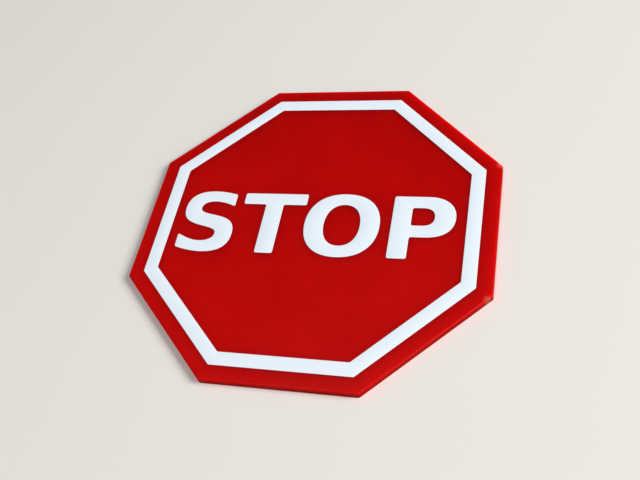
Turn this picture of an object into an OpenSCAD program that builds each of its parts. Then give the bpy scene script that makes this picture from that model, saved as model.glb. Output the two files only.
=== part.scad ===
// Small octagonal stop sign, made in two colours of plastic.
// The red plate lies on its flat back with its face up, and the white
// border band sits on the face and stands a little proud of it.
// Millimetres, +Z up out of the face, +Y towards the top of the sign,
// origin at the centre of the plate's back.

/* [Plate] */
// Width across opposite flat sides
plate_flats = 100; // [60:1:300]
// Thickness of the red plate
plate_t = 2; // [1.6:0.1:8]
// Radius of the eight corners, seen from the front
plate_corner_r = 0.8; // [0.2:0.1:6]
// Radius of the rounded rim round the face
rim_r = 0.4; // [0.1:0.05:1]

/* [Border band] */
// Red margin left between the plate's edge and the band
margin_w = 4.2; // [1.5:0.1:12]
// Width of the white band
band_w = 4; // [1.5:0.1:12]
// Height that the band stands above the face
band_t = 0.2; // [0.1:0.05:1.2]
// Radius of the band's outer corners
band_outer_r = 0.4; // [0.1:0.1:4]
// Radius of the band's inner corners
band_inner_r = 0.8; // [0.1:0.1:4]

/* [Hidden] */

sides = 8;
turn = 360 / sides;
half_turn = turn / 2;
opposite_pairs = sides / 2;

plate_apothem = plate_flats / 2;
plate_circumradius = plate_apothem / cos(half_turn);
band_outer_apothem = plate_apothem - margin_w;
band_inner_apothem = band_outer_apothem - band_w;

plate_red = [0.72, 0.02, 0.02];
band_white = [0.90, 0.94, 0.98];

$fn = 64;

// Octagon with sharp corners and one flat side towards +Y
module sharp_octagon(apothem) {
    rotate(half_turn)
        circle(r = apothem / cos(half_turn), $fn = sides);
}

// What rounding takes off the corners of such an octagon. Each piece is
// bounded inwards by an arc that meets both sides at a tangent.
module corner_offcuts(apothem, corner_r) {
    for (i = [0 : sides - 1])
        rotate(half_turn + i * turn)
            translate([(apothem - corner_r) / cos(half_turn), 0])
                difference() {
                    translate([corner_r * cos(half_turn), -corner_r])
                        square(2 * corner_r);
                    circle(r = corner_r);
                }
}

module rounded_octagon(apothem, corner_r) {
    difference() {
        sharp_octagon(apothem);
        corner_offcuts(apothem, corner_r);
    }
}

// Section across the plate, square at the back and rounded at the face
module plate_section() {
    translate([-plate_apothem, 0])
        square([plate_flats, plate_t - rim_r]);
    translate([rim_r - plate_apothem, 0])
        square([plate_flats - 2 * rim_r, plate_t]);
    for (end = [-1, 1])
        translate([end * (plate_apothem - rim_r), plate_t - rim_r])
            circle(r = rim_r);
}

// Long slab with that section, which bounds one pair of opposite sides
module rimmed_slab() {
    translate([-plate_circumradius, 0, 0])
        rotate([90, 0, 90])
            linear_extrude(2 * plate_circumradius)
                plate_section();
}

// Four crossing slabs have an octagonal plate in common, whose rounded rim
// runs along every side and mitres at the corners. The corners are then
// rounded through the whole thickness.
module base_plate() {
    color(plate_red)
        difference() {
            intersection_for(i = [0 : opposite_pairs - 1])
                rotate(i * turn)
                    rimmed_slab();
            linear_extrude(plate_t)
                corner_offcuts(plate_apothem, plate_corner_r);
        }
}

// Flat band seated on the face, parallel to the plate's edge all round
module border_band() {
    color(band_white)
        translate([0, 0, plate_t])
            linear_extrude(band_t)
                difference() {
                    rounded_octagon(band_outer_apothem, band_outer_r);
                    rounded_octagon(band_inner_apothem, band_inner_r);
                }
}

base_plate();
border_band();
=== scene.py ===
"""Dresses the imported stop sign: a two-colour plastic plate lying face up in a soft studio."""

import math

import bpy
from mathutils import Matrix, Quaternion, Vector
from mathutils.geometry import interpolate_bezier


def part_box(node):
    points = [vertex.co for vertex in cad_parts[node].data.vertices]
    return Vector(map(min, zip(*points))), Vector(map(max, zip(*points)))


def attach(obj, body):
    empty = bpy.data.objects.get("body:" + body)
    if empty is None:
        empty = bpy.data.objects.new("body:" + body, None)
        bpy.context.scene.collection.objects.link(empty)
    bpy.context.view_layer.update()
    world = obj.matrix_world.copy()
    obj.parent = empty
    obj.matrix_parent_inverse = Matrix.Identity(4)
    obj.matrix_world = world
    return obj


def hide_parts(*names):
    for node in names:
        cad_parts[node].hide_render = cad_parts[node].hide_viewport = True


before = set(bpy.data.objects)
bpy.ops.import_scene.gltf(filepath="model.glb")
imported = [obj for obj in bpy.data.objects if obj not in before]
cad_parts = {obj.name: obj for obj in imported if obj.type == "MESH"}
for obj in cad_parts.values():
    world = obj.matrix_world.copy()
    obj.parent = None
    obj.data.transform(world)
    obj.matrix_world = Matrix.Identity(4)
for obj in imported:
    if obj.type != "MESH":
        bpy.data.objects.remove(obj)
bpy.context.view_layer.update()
PLATE_LOW, PLATE_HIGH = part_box("base_plate")
BAND_LOW, BAND_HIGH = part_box("border_band")

bl_info = {
    "name": "Plastic Stop Sign",
    "version": (1, 0, 0),
    "blender": (4, 5, 0),
    "location": "3D View > Sidebar > Stop Sign",
    "description": "Builds a small two-colour plastic stop sign and a studio to show it in",
    "category": "Add Mesh",
}

MM = 0.001
SIDES = 8
HALF_TURN = math.pi / SIDES
WELD = 1e-6
SMOOTH_ANGLE = math.radians(28)

# Points along the rounded corners of an octagon and along a rounded upper edge
FILLET_STEPS = 7
EDGE_STEPS = 6
# The plate's sides are cut up, so that its outline can wander along them
SIDE_CUTS = 40
WANDER_LENGTH = 6.25 * MM
WANDER_SEED = 3.0
# Stretches that one bead of the plate's wall is divided into
BEAD_STEPS = 4

# Places of the colour inputs and the colour output on a Mix node
MIX_A, MIX_B, MIX_RESULT = 6, 7, 2


# Sizes and colours that a user may change


def length(name, description, default):
    """A size in metres with the panel's unit of length."""
    return bpy.props.FloatProperty(
        name=name, description=description, default=default, min=0.0,
        precision=5, subtype="DISTANCE", unit="LENGTH")


def colour(name, description, default):
    """A linear colour that a surface is painted with."""
    return bpy.props.FloatVectorProperty(
        name=name, description=description, default=default, size=3,
        min=0.0, max=1.0, subtype="COLOR")


def watts(name, description, default):
    """The power of one studio lamp."""
    return bpy.props.FloatProperty(
        name=name, description=description, default=default, min=0.0,
        subtype="POWER", unit="POWER")


class SignPlateSettings(bpy.types.PropertyGroup):
    flats: length(
        "Width", "Width of the red plate across opposite flat sides",
        PLATE_HIGH.x - PLATE_LOW.x)
    thickness: length("Thickness", "Thickness of the red plate", PLATE_HIGH.z)
    corner: length("Corner Radius", "Radius of the eight corners seen from above", 0.8 * MM)
    rim: length("Rim Radius", "Radius of the rounded rim round the face", 0.4 * MM)
    layer: length("Layer", "Height of one printed layer on the walls", 0.2 * MM)
    bulge: length("Bulge", "How far each layer's bead bulges out of the wall", 0.014 * MM)
    waviness: length("Waviness", "How far the outline strays from a true octagon", 0.02 * MM)
    red: colour("Red", "Colour of the plate", (0.66, 0.0006, 0.0005))
    # Pale orange painted on the plate's two right-hand corners as highlights where the window light
    # catches them
    corner_highlight_colour: colour("Corner_Highlight", "Colour of the small painted_highlights on the plate's corners", (0.80, 0.08, 0.045))


class SignBandSettings(bpy.types.PropertyGroup):
    flats: length(
        "Width", "Width of the white band across its outer flat sides",
        BAND_HIGH.x - BAND_LOW.x)
    width: length("Band Width", "Width of the white band itself", 4.0 * MM)
    top: length("Top", "Height of the white parts above the table", BAND_HIGH.z)
    outer_corner: length("Outer Corner", "Radius of the band's outer corners", 0.4 * MM)
    inner_corner: length("Inner Corner", "Radius of the band's inner corners", 0.8 * MM)
    drawn_in: length("Drawn In", "How far the band's edges lie inside its full width", 0.1 * MM)
    edge: length("Edge", "Radius of the small round on the white parts' upper edges", 0.06 * MM)
    sunk: length("Sunk", "Depth that the white parts are sunk into the face", 0.05 * MM)
    white: colour("White", "Colour of the band and the letters", (0.81, 0.885, 0.955))
    # Dark red painted on the white parts' thin flanks as shade where they meet the red face
    flank_shade: colour("Flank_Shade", "Colour of the white parts' thin flanks", (0.30, 0.004, 0.004))


class SignLetterSettings(bpy.types.PropertyGroup):
    corner: length(
        "Corner", "Length of the letters' sides that each rounded corner takes", 0.6 * MM)


class SignStageSettings(bpy.types.PropertyGroup):
    floor: colour("Floor", "Colour of the table as the camera sees it", (0.78, 0.75, 0.70))
    mirrored: colour("Mirrored Floor", "Colour of the table in reflections", (0.10, 0.06, 0.03))
    key: watts("Key", "Power of the soft window light from the right", 42.0)
    top: watts("Top", "Power of the soft light overhead", 2.5)
    low: watts("Low", "Power of the small low light from the front right", 0.7)


# Node trees


class Socket:
    """An output of a node tree. Arithmetic on it adds Math nodes."""

    def __init__(self, tree, output):
        self.tree = tree
        self.output = output

    def math(self, operation, *values):
        return self.tree.node(
            "ShaderNodeMath", {"operation": operation}, dict(enumerate(values)))

    def __add__(self, other):
        return self.math("ADD", self, other)

    def __sub__(self, other):
        return self.math("SUBTRACT", self, other)

    def __rsub__(self, other):
        return self.math("SUBTRACT", other, self)

    def __mul__(self, other):
        return self.math("MULTIPLY", self, other)

    def __truediv__(self, other):
        return self.math("DIVIDE", self, other)

    def __rtruediv__(self, other):
        return self.math("DIVIDE", other, self)

    def __neg__(self):
        return self.math("MULTIPLY", self, -1.0)

    def __mod__(self, other):
        return self.math("FLOORED_MODULO", self, other)

    def __rmod__(self, other):
        return self.math("FLOORED_MODULO", other, self)

    def __abs__(self):
        return self.math("ABSOLUTE", self)

    def sine(self):
        return self.math("SINE", self)

    def cosine(self):
        return self.math("COSINE", self)

    def power(self, exponent):
        return self.math("POWER", self, exponent)

    def largest(self, other):
        return self.math("MAXIMUM", self, other)

    def smallest(self, other):
        return self.math("MINIMUM", self, other)

    def below(self, limit):
        return self.math("LESS_THAN", self, limit)

    __radd__ = __add__
    __rmul__ = __mul__


class Tree:
    """Adds nodes to a shader tree or a geometry tree."""

    def __init__(self, nodes):
        self.nodes = nodes

    def node(self, kind, settings=None, inputs=None, output=0):
        """Adds a node, sets it, fills or links its inputs, and returns one output."""
        made = self.nodes.nodes.new(kind)
        for name, value in (settings or {}).items():
            setattr(made, name, value)
        for name, value in (inputs or {}).items():
            if isinstance(value, Socket):
                self.nodes.links.new(value.output, made.inputs[name])
            else:
                made.inputs[name].default_value = value
        return Socket(self, made.outputs[output])


class Recipe(Tree):
    """A Geometry Nodes tree with named inputs and one geometry output."""

    def __init__(self, name):
        super().__init__(bpy.data.node_groups.new(name, "GeometryNodeTree"))
        self.nodes.interface.new_socket(
            "Geometry", in_out="OUTPUT", socket_type="NodeSocketGeometry")
        self.entry = self.nodes.nodes.new("NodeGroupInput")

    def input(self, name, kind, default=None):
        made = self.nodes.interface.new_socket(
            name, in_out="INPUT", socket_type="NodeSocket" + kind)
        if default is not None:
            made.default_value = default
        return Socket(self, self.entry.outputs[name])

    def geometry(self, kind, inputs, settings=None):
        return self.node("GeometryNode" + kind, settings, inputs)

    def vector(self, x=0.0, y=0.0, z=0.0):
        return self.node("ShaderNodeCombineXYZ", None, {"X": x, "Y": y, "Z": z})

    def use(self, recipe, inputs):
        """Adds another recipe as one node of this one."""
        return self.node("GeometryNodeGroup", {"node_tree": recipe.nodes}, inputs)

    def join(self, *parts):
        """Joins several geometries. The last one comes first in the result."""
        joined = self.nodes.nodes.new("GeometryNodeJoinGeometry")
        for part in parts:
            self.nodes.links.new(part.output, joined.inputs[0])
        return Socket(self, joined.outputs[0])

    def shifted(self, curve, outward):
        """A curve's points moved along its own outward normal."""
        normal = self.node("GeometryNodeInputNormal")
        offset = self.node(
            "ShaderNodeVectorMath", {"operation": "SCALE"}, {0: normal, "Scale": outward})
        return self.geometry("SetPosition", {"Geometry": curve, "Offset": offset})

    def cap(self, curve, outward, z):
        """The flat face inside closed curves, facing up, at a height."""
        face = self.geometry("FillCurve", {"Curve": self.shifted(curve, outward)})
        return self.geometry("Transform", {"Geometry": face, "Translation": self.vector(z=z)})

    def line(self, x, start, end):
        """A straight stretch of a section from one height to another."""
        return self.geometry("CurvePrimitiveLine", {
            "Start": self.vector(x, -start), "End": self.vector(x, -end)})

    def quarter_round(self, radius, top):
        """The rounded edge of a section, from its inner end on the top to the wall."""
        arc = self.geometry("CurveArc", {
            "Resolution": EDGE_STEPS, "Radius": radius,
            "Start Angle": -math.pi / 2, "Sweep Angle": math.pi / 2}, {"mode": "RADIUS"})
        place = self.vector(-radius, radius - top)
        return self.geometry("Transform", {"Geometry": arc, "Translation": place})

    def swept(self, curve, section):
        return self.geometry("CurveToMesh", {"Curve": curve, "Profile Curve": section})

    def end(self, result, material=None):
        """Welds the parts of the result and paints it, and ends the tree."""
        if material is not None:
            result = self.geometry("MergeByDistance", {"Geometry": result, "Distance": WELD})
            result = self.geometry("RealizeInstances", {"Geometry": result})
            result = self.geometry("SetMaterial", {"Geometry": result, "Material": material})
        exit_node = self.nodes.nodes.new("NodeGroupOutput")
        self.nodes.links.new(result.output, exit_node.inputs[0])


def octagon_recipe():
    """An octagon with one side towards +Y, rounded corners and finely divided sides."""
    recipe = Recipe("Rounded Octagon")
    apothem = recipe.input("Apothem", "Float", 0.05)
    corner = recipe.input("Corner Radius", "Float", 0.001)
    cuts = recipe.input("Cuts", "Int", 0)
    waviness = recipe.input("Waviness", "Float", 0.0)
    seed = recipe.input("Seed", "Float", 0.0)
    ring = recipe.geometry("CurvePrimitiveCircle", {
        "Resolution": SIDES, "Radius": apothem / math.cos(HALF_TURN)}, {"mode": "RADIUS"})
    turned = recipe.geometry("Transform", {
        "Geometry": ring, "Rotation": (0.0, 0.0, HALF_TURN)})
    divided = recipe.geometry("SubdivideCurve", {"Curve": turned, "Cuts": cuts})
    at_corner = (recipe.node("GeometryNodeInputIndex") % (cuts + 1)).below(0.5)
    rounded = recipe.geometry("FilletCurve", {
        "Curve": divided, "Count": FILLET_STEPS, "Radius": at_corner * corner}, {"mode": "POLY"})
    upright = recipe.geometry("SetCurveNormal", {"Curve": rounded}, {"mode": "Z_UP"})
    noise = recipe.node(
        "ShaderNodeTexNoise", {"noise_dimensions": "4D"},
        {"W": seed, "Scale": 1.0 / WANDER_LENGTH, "Detail": 2.0})
    recipe.end(recipe.shifted(upright, (noise - 0.5) * (waviness * 2)))
    return recipe


def raised_recipe():
    """A closed solid over closed curves: upright walls, a flat top and a rounded upper edge."""
    recipe = Recipe("Raised Solid")
    curve = recipe.input("Curve", "Geometry")
    foot = recipe.input("Foot", "Float", 0.0)
    top = recipe.input("Top", "Float", 0.001)
    edge = recipe.input("Edge Radius", "Float", 0.0001)
    upright = recipe.geometry("SetCurveNormal", {"Curve": curve}, {"mode": "Z_UP"})
    section = recipe.join(
        recipe.line(0.0, top - edge, foot), recipe.quarter_round(edge, top))
    floor = recipe.geometry("FlipFaces", {"Mesh": recipe.cap(upright, 0.0, foot)})
    recipe.end(recipe.join(
        recipe.swept(upright, section), recipe.cap(upright, -edge, top), floor))
    return recipe


def plate_recipe(octagon):
    """The red plate: layered walls, a rounded rim, a flat face and a flat back."""
    recipe = Recipe("Red Plate")
    flats = recipe.input("Width", "Float")
    thickness = recipe.input("Thickness", "Float")
    corner = recipe.input("Corner Radius", "Float")
    rim = recipe.input("Rim Radius", "Float")
    layer = recipe.input("Layer", "Float")
    bulge = recipe.input("Bulge", "Float")
    waviness = recipe.input("Waviness", "Float")
    seed = recipe.input("Seed", "Float")
    material = recipe.input("Material", "Material")

    outline = recipe.use(octagon, {
        "Apothem": flats * 0.5 - waviness, "Corner Radius": corner, "Cuts": SIDE_CUTS,
        "Waviness": waviness, "Seed": seed})

    # The wall is a stack of slightly round beads, with half of one at each end. It has
    # one point more than stretches, and the other half of the 1.5 rounds the count
    straight = recipe.line(0.0, thickness - rim, 0.0)
    fine = recipe.geometry("ResampleCurve", {
        "Curve": straight,
        "Count": ((thickness - rim) / layer) * BEAD_STEPS + 1.5}, {"mode": "COUNT"})
    position = recipe.node("GeometryNodeInputPosition")
    height = recipe.node("ShaderNodeSeparateXYZ", None, {0: position}, "Y")
    bead = abs((height * math.pi / layer).cosine()) - 1
    wall = recipe.geometry("SetPosition", {
        "Geometry": fine, "Offset": recipe.vector(x=bead * bulge)})
    section = recipe.join(wall, recipe.quarter_round(rim, thickness))

    face = recipe.cap(outline, -rim, thickness)
    back = recipe.geometry("FlipFaces", {"Mesh": recipe.cap(outline, 0.0, 0.0)})
    recipe.end(recipe.join(recipe.swept(outline, section), face, back), material)
    return recipe


def band_recipe(octagon, raised):
    """The white band between two rounded octagons."""
    recipe = Recipe("White Band")
    outer = recipe.input("Band Outer", "Float")
    inner = recipe.input("Band Inner", "Float")
    outer_corner = recipe.input("Outer Corner", "Float")
    inner_corner = recipe.input("Inner Corner", "Float")
    foot = recipe.input("Foot", "Float")
    top = recipe.input("Top", "Float")
    edge = recipe.input("Edge Radius", "Float")
    material = recipe.input("Material", "Material")
    outside = recipe.use(octagon, {"Apothem": outer, "Corner Radius": outer_corner})
    inside = recipe.use(octagon, {"Apothem": inner, "Corner Radius": inner_corner})
    edges = recipe.join(outside, recipe.geometry("ReverseCurve", {"Curve": inside}))
    recipe.end(recipe.use(raised, {
        "Curve": edges, "Foot": foot, "Top": top, "Edge Radius": edge}), material)
    return recipe


def letter_recipe(raised):
    """One white letter over its own outlines."""
    recipe = Recipe("White Letter")
    outlines = recipe.input("Outlines", "Geometry")
    foot = recipe.input("Foot", "Float")
    top = recipe.input("Top", "Float")
    edge = recipe.input("Edge Radius", "Float")
    material = recipe.input("Material", "Material")
    recipe.end(recipe.use(raised, {
        "Curve": outlines, "Foot": foot, "Top": top, "Edge Radius": edge}), material)
    return recipe


def recipes():
    """Every tree, made once and used by all the operators."""
    if "Red Plate" not in bpy.data.node_groups:
        octagon = octagon_recipe()
        raised = raised_recipe()
        plate_recipe(octagon)
        band_recipe(octagon, raised)
        letter_recipe(raised)
    return bpy.data.node_groups


def cast(source, tree, values, name):
    """Runs a tree on an object and returns the result as a plain mesh piece."""
    modifier = source.modifiers.new(tree.name, "NODES")
    modifier.node_group = tree
    for item in tree.interface.items_tree:
        if item.in_out == "INPUT" and item.name in values:
            modifier[item.identifier] = values[item.name]
    evaluated = source.evaluated_get(bpy.context.evaluated_depsgraph_get())
    mesh = bpy.data.meshes.new_from_object(evaluated)
    bpy.data.objects.remove(source)
    mesh.name = name
    if mesh.materials[0] is None:
        mesh.materials.pop(index=0)
    mesh.set_sharp_from_angle(angle=SMOOTH_ANGLE)
    piece = bpy.data.objects.new(name, mesh)
    bpy.context.scene.collection.objects.link(piece)
    return piece


def linked(data, name):
    """A new object for some data, in the scene."""
    made = bpy.data.objects.new(name, data)
    bpy.context.scene.collection.objects.link(made)
    return made


# Letter outlines, in millimetres from the middle of the sign


class Knot:
    """A point of an outline, with its handles. A corner is rounded later."""

    def __init__(self, x, y, before=(0.0, 0.0), after=(0.0, 0.0), sharp=True):
        self.at = Vector((x, y, 0.0))
        self.before = self.at + Vector((*before, 0.0))
        self.after = self.at + Vector((*after, 0.0))
        self.sharp = sharp


def smooth(x, y, dx, dy, before, after):
    """A knot that the outline passes through in direction dx, dy."""
    way = Vector((dx, dy)).normalized()
    return Knot(x, y, way * -before, way * after, sharp=False)


def oval(x0, x1, y0, y1, fullness):
    """Four knots of an oval, anticlockwise. Fullness 0.55 gives an ellipse."""
    cx, cy = (x0 + x1) / 2, (y0 + y1) / 2
    across, up = fullness * (x1 - x0) / 2, fullness * (y1 - y0) / 2
    return [
        smooth(x1, cy, 0, 1, up, up), smooth(cx, y1, -1, 0, across, across),
        smooth(x0, cy, 0, -1, up, up), smooth(cx, y0, 1, 0, across, across)]


CAP_TOP = 9.27
BASELINE = -11.14
# Points along a bent stretch and a rounded corner of a letter, and how far the
# corner's handles reach towards its tip
BEND_STEPS = 15
CORNER_STEPS = 6
CORNER_REACH = 0.6


def letter_s():
    return [[
        Knot(-24.2, 8.67, (0.0, 0.0), (-2.4, 0.55)),
        smooth(-31.4, 9.7, -1, 0, 3.0, 5.0),
        smooth(-39.08, 3.4, 0, -1, 4.1, 4.3),
        smooth(-32.0, -2.8, 1, -0.24, 4.3, 2.4),
        smooth(-28.0, -5.2, 0, -1, 1.4, 1.7),
        smooth(-32.2, -7.85, -1, 0, 2.4, 2.3),
        Knot(-39.0, -5.7, (2.3, -1.15), (0.0, 0.0)),
        Knot(-38.95, -10.15, (0.0, 0.0), (2.1, -0.7)),
        smooth(-31.1, -11.54, 1, 0, 2.3, 5.7),
        smooth(-22.84, -5.0, 0, 1, 4.4, 4.3),
        smooth(-29.6, 1.2, -1, 0.2, 4.2, 2.8),
        smooth(-34.22, 3.6, 0, 1, 1.5, 1.5),
        smooth(-30.4, 6.0, 1, 0, 2.4, 2.3),
        Knot(-24.2, 4.45, (-2.0, 0.85), (0.0, 0.0)),
    ]]


def letter_t():
    left, right, under = -21.57, -2.8, 5.43
    stem_left, stem_right = -14.77, -9.56
    return [[
        Knot(left, CAP_TOP), Knot(left, under), Knot(stem_left, under),
        Knot(stem_left, BASELINE), Knot(stem_right, BASELINE), Knot(stem_right, under),
        Knot(right, under), Knot(right, CAP_TOP)]]


def letter_o():
    outside = oval(-2.23, 18.9, -11.56, 9.63, 0.625)
    inside = oval(3.28, 13.48, -7.84, 5.87, 0.62)
    return [outside, clockwise(inside)]


def letter_p():
    left, stem_right, right = 21.94, 27.2, 39.0
    bowl_low, bowl_mid = -4.18, 2.55
    outside = [
        Knot(left, CAP_TOP), Knot(left, BASELINE), Knot(stem_right, BASELINE),
        Knot(stem_right, bowl_low), Knot(31.0, bowl_low, (0.0, 0.0), (5.2, 0.0), False),
        smooth(right, bowl_mid, 0, 1, 4.4, 3.9),
        Knot(31.2, CAP_TOP, (5.1, 0.0), (0.0, 0.0), False)]
    hole_right, hole_low, hole_high = 33.4, -0.39, 5.44
    hole_mid = (hole_low + hole_high) / 2
    inside = [
        Knot(stem_right, hole_low), Knot(30.0, hole_low, (0.0, 0.0), (2.5, 0.0), False),
        smooth(hole_right, hole_mid, 0, 1, 1.8, 1.8),
        Knot(30.0, hole_high, (2.4, 0.0), (0.0, 0.0), False),
        Knot(stem_right, hole_high)]
    return [outside, clockwise(inside)]


def clockwise(knots):
    """The same outline run the other way, as a hole is."""
    turned = list(reversed(knots))
    for knot in turned:
        knot.before, knot.after = knot.after, knot.before
    return turned


LETTERS = {"letter_s": letter_s, "letter_t": letter_t, "letter_o": letter_o, "letter_p": letter_p}


def cut_back(points, distance):
    """The stretch of points that is left when its end is shortened by a distance."""
    kept = list(points)
    while distance > 0:
        last = (kept[-1] - kept[-2]).length
        if last > distance:
            kept[-1] = kept[-1].lerp(kept[-2], distance / last)
            return kept
        distance -= last
        kept.pop()
    return kept


def drawn(knots, corner):
    """Points along one outline in millimetres, its sharp corners rounded off."""
    stretches = []
    for first, second in zip(knots, knots[1:] + knots[:1]):
        bent = first.after != first.at or second.before != second.at
        steps = BEND_STEPS if bent else 2
        points = interpolate_bezier(first.at, first.after, second.before, second.at, steps)
        if first.sharp:
            points = cut_back(points[::-1], corner)[::-1]
        if second.sharp:
            points = cut_back(points, corner)
        stretches.append(points)
    outline = []
    for knot, coming, going in zip(knots, stretches[-1:] + stretches[:-1], stretches):
        if knot.sharp:
            a, b = coming[-1], going[0]
            handles = a.lerp(knot.at, CORNER_REACH), b.lerp(knot.at, CORNER_REACH)
            outline += interpolate_bezier(a, *handles, b, CORNER_STEPS)[1:-1]
        outline += going if knot.sharp else going[1:]
    return outline


def outline_curve(name, outlines):
    """A curve object with closed straight-edged splines through millimetre points."""
    curve = bpy.data.curves.new(name, "CURVE")
    curve.dimensions = "3D"
    for points in outlines:
        spline = curve.splines.new("POLY")
        spline.points.add(len(points) - 1)
        for made, point in zip(spline.points, points):
            made.co = (*(point * MM), 1.0)
        spline.use_cyclic_u = True
    return linked(curve, name)


# Materials


class Painter(Tree):
    """A material's shader tree round one plastic shader."""

    def __init__(self, name):
        self.material = bpy.data.materials.new(name)
        self.material.use_nodes = True
        super().__init__(self.material.node_tree)
        self.shader = self.nodes.nodes["Principled BSDF"]

    def set(self, **values):
        for name, value in values.items():
            socket = self.shader.inputs[name.replace("_", " ")]
            if isinstance(value, Socket):
                self.nodes.links.new(value.output, socket)
            else:
                socket.default_value = value

    def place(self):
        return self.node("ShaderNodeTexCoord", output="Object")

    def split(self, vector):
        made = self.nodes.nodes.new("ShaderNodeSeparateXYZ")
        self.nodes.links.new(vector.output, made.inputs[0])
        return [Socket(self, output) for output in made.outputs]

    def noise(self, place, size, detail=2.0):
        return self.node("ShaderNodeTexNoise", None, {
            "Vector": place, "Scale": 1.0 / size, "Detail": detail, "Roughness": 0.55})

    def mix(self, factor, a, b):
        a, b = (value if isinstance(value, Socket) else (*value, 1.0) for value in (a, b))
        return self.node("ShaderNodeMix", {"data_type": "RGBA"}, {
            "Factor": factor, MIX_A: a, MIX_B: b}, MIX_RESULT)

    def bump(self, height, distance):
        return self.node("ShaderNodeBump", None, {
            "Strength": 1.0, "Distance": distance, "Height": height})


def shade(colour_value, share):
    """A colour made lighter or darker by a share."""
    return tuple(min(channel * share, 1.0) for channel in colour_value)


# Middles and radii in millimetres of the pale painted highlights on the two right-hand corners,
# which face the window light
PAINTED_CORNER_HIGHLIGHTS = ((49.3, 20.9, 1.3), (48.7, -21.8, 1.2))
CORNER_HIGHLIGHT_STRENGTH = 2.4
# Sizes of the printed skin: clouds in the colour, fine grain, strands and their depth
RED_CLOUD = 20 * MM
WHITE_CLOUD = 15 * MM
GRAIN = 0.35 * MM
STRAND = 0.42 * MM
SKIN_DEPTH = 0.004 * MM
# The red's darkest and brightest shares, and how much its clouds count between them
RED_DARK, RED_BRIGHT, RED_CLOUDING = 0.78, 1.4, 0.8
# Painted light: the red is painted brighter across the plate's width towards the lower left, and
# painted glowing past a line at the lower left
PAINTED_LEAN_X, PAINTED_LEAN_Y = 0.26, 0.52
PAINTED_GLOW, PAINTED_GLOW_START = 0.9, 16 * MM
WHITE_DARK, WHITE_BRIGHT = 0.98, 1.01
# Share of the rounded edge over which the painted shade on the flanks gives way to white
FLANK_SHADE_FADE = 0.8


def stranded(across):
    """Waves one strand apart, for a sum or difference of x and y."""
    return (across * (math.tau / (STRAND * math.sqrt(2)))).sine()


def red_plastic(settings):
    """Saturated red plastic, satin and a little translucent, painted brighter towards its lower
    left and with painted highlights on two corners.
    """
    paint = Painter("Red Plastic")
    place = paint.place()
    x, y, _ = paint.split(place)
    cloud = paint.noise(place, RED_CLOUD, 3.0)
    grain = paint.noise(place, GRAIN, 3.0)
    strands = stranded(x + y)
    # Painted light: the red is painted brighter towards the lower left, standing for light that the
    # translucent plastic carries there
    painted_lean = (x * -PAINTED_LEAN_X - y * PAINTED_LEAN_Y) / settings.flats
    painted_glow = ((x + y * 0.5 + PAINTED_GLOW_START) * (-PAINTED_GLOW / settings.flats)).largest(0.0)
    red = tuple(settings.red)
    # The red's random clouds and its painted glow towards the lower left, mixed together
    even = paint.mix(
        cloud * RED_CLOUDING + painted_lean + painted_glow, shade(red, RED_DARK), shade(red, RED_BRIGHT))
    # Painted highlights: the red is painted paler on the two right-hand corners, as if the window
    # light caught them there; the skin is also rougher there
    corner_highlight_mask = 0.0
    for across, up, size in PAINTED_CORNER_HIGHLIGHTS:
        from_middle = ((x - across * MM).power(2.0) + (y - up * MM).power(2.0)).power(0.5)
        corner_highlight_mask = (1.0 - from_middle / (size * MM)).largest(corner_highlight_mask)
    corner_highlight_mask = (corner_highlight_mask * grain * CORNER_HIGHLIGHT_STRENGTH).smallest(1.0)
    paint.set(
        Base_Color=paint.mix(corner_highlight_mask, even, tuple(settings.corner_highlight_colour)),
        Roughness=0.27 + cloud * 0.08 + grain * 0.06 + corner_highlight_mask * 0.2,
        Normal=paint.bump(strands * 0.5 + grain, SKIN_DEPTH),
        Specular_IOR_Level=0.16,
        Subsurface_Weight=0.8,
        Subsurface_Radius=(20.0 * MM, 0.1 * MM, 0.08 * MM),
        Subsurface_Scale=1.0)
    return paint.material


def white_plastic(settings):
    """Cool white plastic with a matt, finely stranded skin and thin flanks painted dark red as
    shade.
    """
    paint = Painter("White Plastic")
    place = paint.place()
    x, y, z = paint.split(place)
    cloud = paint.noise(place, WHITE_CLOUD)
    grain = paint.noise(place, GRAIN, 3.0)
    strands = stranded(x - y)
    white = tuple(settings.white)
    face = paint.mix(cloud, shade(white, WHITE_DARK), shade(white, WHITE_BRIGHT))
    # Painted shade: the flanks below the rounded top edge are painted dark red, for the dark line
    # of shade along the white parts' edges
    above = (z - (settings.top - settings.edge)) / (settings.edge * FLANK_SHADE_FADE)
    above = above.largest(0.0).smallest(1.0)
    paint.set(
        Base_Color=paint.mix(above, tuple(settings.flank_shade), face),
        Roughness=0.42 + cloud * 0.10 + grain * 0.06,
        Normal=paint.bump(strands * 0.5 + grain, SKIN_DEPTH))
    return paint.material


def material(name, maker, settings):
    """A material by name, made at its first use."""
    return bpy.data.materials.get(name) or maker(settings)


# Operators


def finish_piece(piece, slot_name, *nodes):
    """Puts a piece on its body and hides the nodes that it stands for. The finish's name,
    slot_name, is not used.
    """
    if not piece.data.polygons:
        raise RuntimeError(piece.name + " came out empty")
    if nodes:
        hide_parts(*nodes)
    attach(piece, "root")


def white_sizes(sign):
    """The values that the band and the letters share."""
    return {
        "Foot": sign.plate.thickness - sign.band.sunk, "Top": sign.band.top,
        "Edge Radius": sign.band.edge,
        "Material": material("White Plastic", white_plastic, sign.band)}


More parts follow.
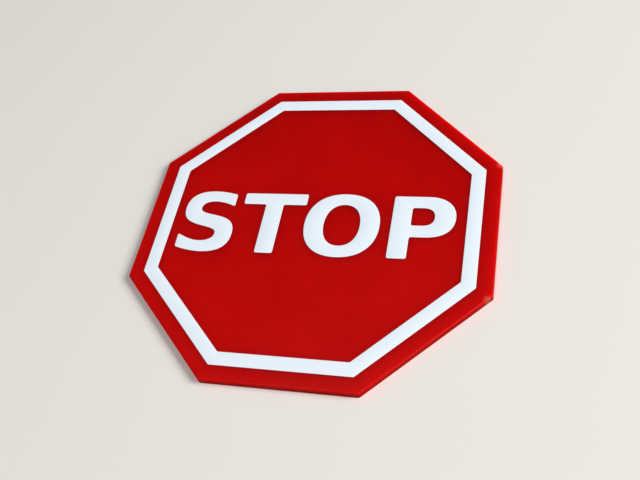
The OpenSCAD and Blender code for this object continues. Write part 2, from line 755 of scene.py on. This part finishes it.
class SIGN_OT_plate(bpy.types.Operator):
    """Build the red plate with its layered walls and rounded rim"""
    bl_idname = "sign.plate"
    bl_label = "Red Plate"

    def execute(self, context):
        plate = context.scene.stop_sign.plate
        source = linked(bpy.data.meshes.new("plate_source"), "plate_source")
        values = {
            "Width": plate.flats, "Thickness": plate.thickness, "Corner Radius": plate.corner,
            "Rim Radius": plate.rim, "Layer": plate.layer, "Bulge": plate.bulge,
            "Waviness": plate.waviness, "Seed": WANDER_SEED,
            "Material": material("Red Plastic", red_plastic, plate)}
        piece = cast(source, recipes()["Red Plate"], values, "red_plate")
        finish_piece(piece, "red_plastic", "base_plate")
        return {"FINISHED"}


class SIGN_OT_band(bpy.types.Operator):
    """Build the raised white band that runs round the face"""
    bl_idname = "sign.band"
    bl_label = "White Band"

    def execute(self, context):
        sign = context.scene.stop_sign
        band = sign.band
        source = linked(bpy.data.meshes.new("band_source"), "band_source")
        values = {
            "Band Outer": band.flats / 2 - band.drawn_in,
            "Band Inner": band.flats / 2 - band.width + band.drawn_in,
            "Outer Corner": band.outer_corner, "Inner Corner": band.inner_corner}
        piece = cast(source, recipes()["White Band"], values | white_sizes(sign), "white_band")
        finish_piece(piece, "white_plastic", "border_band")
        return {"FINISHED"}


class SIGN_OT_letters(bpy.types.Operator):
    """Build the four raised white letters"""
    bl_idname = "sign.letters"
    bl_label = "White Letters"

    def execute(self, context):
        sign = context.scene.stop_sign
        for name, letter in LETTERS.items():
            outlines = [drawn(knots, sign.letters.corner / MM) for knots in letter()]
            source = outline_curve(name + "_outline", outlines)
            piece = cast(source, recipes()["White Letter"], white_sizes(sign), name)
            finish_piece(piece, "white_plastic")
        return {"FINISHED"}


FLOOR_SIZE = 1.5
# A hair's breadth, so that light which leaves the back of the plastic meets the floor
FLOOR_GAP = 0.02 * MM
# Camera and the point it looks at, measured from the middle of the white parts' top
CAMERA_PLACE = Vector((59.92, -123.67, 172.02)) * MM
LOOK_AT = Vector((-1.944, -11.636, 0.0)) * MM
CAMERA_ROLL = math.radians(-21.36)
CAMERA_LENS = 44.662
CAMERA_SHIFT = 0.03475, 0.02453
CAMERA_CLIP = 0.01
SENSOR = 36.0
# Share of the floor's colour that it gives back as light
BOUNCED = 0.8
# The room's light, its look in reflections and its look behind the floor
ROOM = (0.22, 0.225, 0.235, 1.0)
ROOM_MIRRORED = (0.03, 0.03, 0.03, 1.0)
BACKDROP = (0.80, 0.79, 0.77, 1.0)


def lamp(name, power, size, azimuth, elevation, distance):
    """A soft light that looks at the sign, with its angles in degrees. Azimuth 0 is +X."""
    light = bpy.data.lights.new(name, "AREA")
    light.energy = power
    light.shape = "RECTANGLE"
    light.size, light.size_y = size
    made = linked(light, name)
    a, e = math.radians(azimuth), math.radians(elevation)
    way = Vector((math.cos(a) * math.cos(e), math.sin(a) * math.cos(e), math.sin(e)))
    made.location = way * distance
    made.rotation_euler = way.to_track_quat("Z", "Y").to_euler()


def floor_paint(seen, mirrored):
    """A matt table that the camera sees paler than its light and its reflections are."""
    paint = Painter("Pale Floor")
    camera = paint.node("ShaderNodeLightPath", output="Is Camera Ray")
    glossy = paint.node("ShaderNodeLightPath", output="Is Glossy Ray")
    given = paint.mix(glossy, shade(seen, BOUNCED), mirrored)
    paint.set(Base_Color=paint.mix(camera, given, seen), Roughness=0.9)
    return paint.material


def studio_world(scene):
    """A dim, even room that looks pale to the camera and dark in reflections."""
    world = bpy.data.worlds.new("Studio")
    world.use_nodes = True
    tree = Tree(world.node_tree)
    background = world.node_tree.nodes["Background"]
    camera = tree.node("ShaderNodeLightPath", output="Is Camera Ray")
    mirrored = tree.node("ShaderNodeLightPath", output="Is Glossy Ray")
    room = tree.node("ShaderNodeMix", {"data_type": "RGBA"}, {
        "Factor": mirrored, MIX_A: ROOM, MIX_B: ROOM_MIRRORED}, MIX_RESULT)
    colours = tree.node("ShaderNodeMix", {"data_type": "RGBA"}, {
        "Factor": camera, MIX_A: room, MIX_B: BACKDROP}, MIX_RESULT)
    world.node_tree.links.new(colours.output, background.inputs["Color"])
    scene.world = world


class SIGN_OT_stage(bpy.types.Operator):
    """Lay the pale floor, hang the lamps and set up the camera"""
    bl_idname = "sign.stage"
    bl_label = "Studio"

    def execute(self, context):
        scene = context.scene
        stage = scene.stop_sign.stage
        floor_mesh = bpy.data.meshes.new("floor")
        half = FLOOR_SIZE / 2
        corners = ((-half, -half), (half, -half), (half, half), (-half, half))
        floor_mesh.from_pydata([(x, y, -FLOOR_GAP) for x, y in corners], [], [(0, 1, 2, 3)])
        floor_mesh.materials.append(floor_paint(tuple(stage.floor), tuple(stage.mirrored)))
        linked(floor_mesh, "floor")
        lamp("window", stage.key, size=(0.9, 0.9), azimuth=4.0, elevation=33.0, distance=2.0)
        lamp("overhead", stage.top, size=(0.6, 0.6), azimuth=250.0, elevation=72.0, distance=1.0)
        lamp("low", stage.low, size=(0.3, 0.2), azimuth=-25.0, elevation=14.0, distance=0.7)
        studio_world(scene)
        camera = bpy.data.cameras.new("camera")
        camera.sensor_width = SENSOR
        camera.lens = CAMERA_LENS
        camera.shift_x, camera.shift_y = CAMERA_SHIFT
        camera.clip_start = CAMERA_CLIP
        made = linked(camera, "camera")
        turn = (CAMERA_PLACE - LOOK_AT).to_track_quat("Z", "Y")
        made.rotation_euler = (turn @ Quaternion((0.0, 0.0, 1.0), CAMERA_ROLL)).to_euler()
        made.location = CAMERA_PLACE + Vector((0.0, 0.0, BAND_HIGH.z))
        scene.camera = made
        scene.view_settings.view_transform = "Standard"
        return {"FINISHED"}


class SignSettings(bpy.types.PropertyGroup):
    plate: bpy.props.PointerProperty(type=SignPlateSettings)
    band: bpy.props.PointerProperty(type=SignBandSettings)
    letters: bpy.props.PointerProperty(type=SignLetterSettings)
    stage: bpy.props.PointerProperty(type=SignStageSettings)


class SIGN_PT_panel(bpy.types.Panel):
    """Lists the parts of the sign, in the order in which they are built"""
    bl_idname = "SIGN_PT_panel"
    bl_label = "Stop Sign"
    bl_space_type = "VIEW_3D"
    bl_region_type = "UI"
    bl_category = "Stop Sign"

    def draw(self, context):
        sign = context.scene.stop_sign
        for operator, settings in (
                (SIGN_OT_plate, sign.plate), (SIGN_OT_band, sign.band),
                (SIGN_OT_letters, sign.letters), (SIGN_OT_stage, sign.stage)):
            box = self.layout.box()
            for name in settings.__annotations__:
                box.prop(settings, name)
            box.operator(operator.bl_idname)


CLASSES = (
    SignPlateSettings, SignBandSettings, SignLetterSettings, SignStageSettings, SignSettings,
    SIGN_OT_plate, SIGN_OT_band, SIGN_OT_letters, SIGN_OT_stage, SIGN_PT_panel)


def register():
    for cls in CLASSES:
        bpy.utils.register_class(cls)
    bpy.types.Scene.stop_sign = bpy.props.PointerProperty(type=SignSettings)


def unregister():
    del bpy.types.Scene.stop_sign
    for cls in reversed(CLASSES):
        bpy.utils.unregister_class(cls)


def main():
    register()
    bpy.ops.sign.plate()
    bpy.ops.sign.band()
    bpy.ops.sign.letters()
    bpy.ops.sign.stage()


if __name__ == "__main__":
    main()
